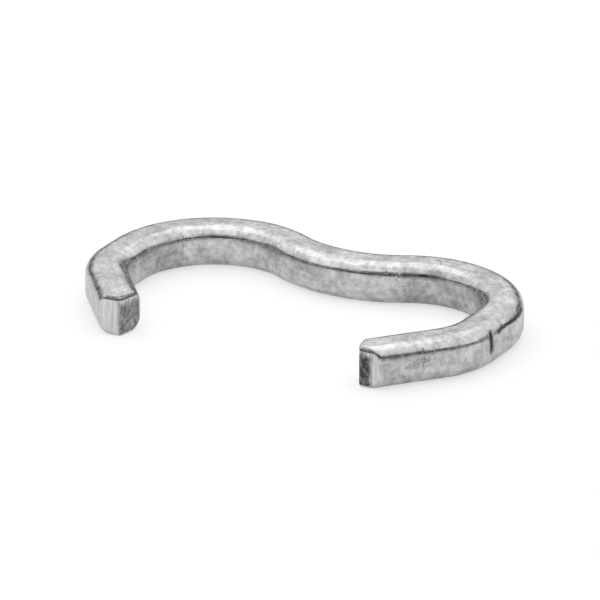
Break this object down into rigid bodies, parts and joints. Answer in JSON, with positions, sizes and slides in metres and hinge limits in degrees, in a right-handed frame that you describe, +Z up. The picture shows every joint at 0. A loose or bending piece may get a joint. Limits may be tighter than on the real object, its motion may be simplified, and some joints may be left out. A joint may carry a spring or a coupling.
{
  "type": "hog ring",
  "caption": "Open M-shaped wire ring with sheared wedge points, closed round wires or netting with ring pliers.",
  "frame": {"origin": "centre of the ring's bounding box, on the surface that the ring lies on", "axes": "+X across the ring over its two lobes, +Y towards the dented crown with the mouth towards -Y, +Z up through the wire's thickness"},
  "size_m": [0.022, 0.0126, 0.0021],
  "materials": {
    "zinc_coated_steel": "bright galvanised wire, lightly mottled"
  },
  "bodies": {
    "root": {"ring": "zinc_coated_steel"}
  },
  "joints": []
}
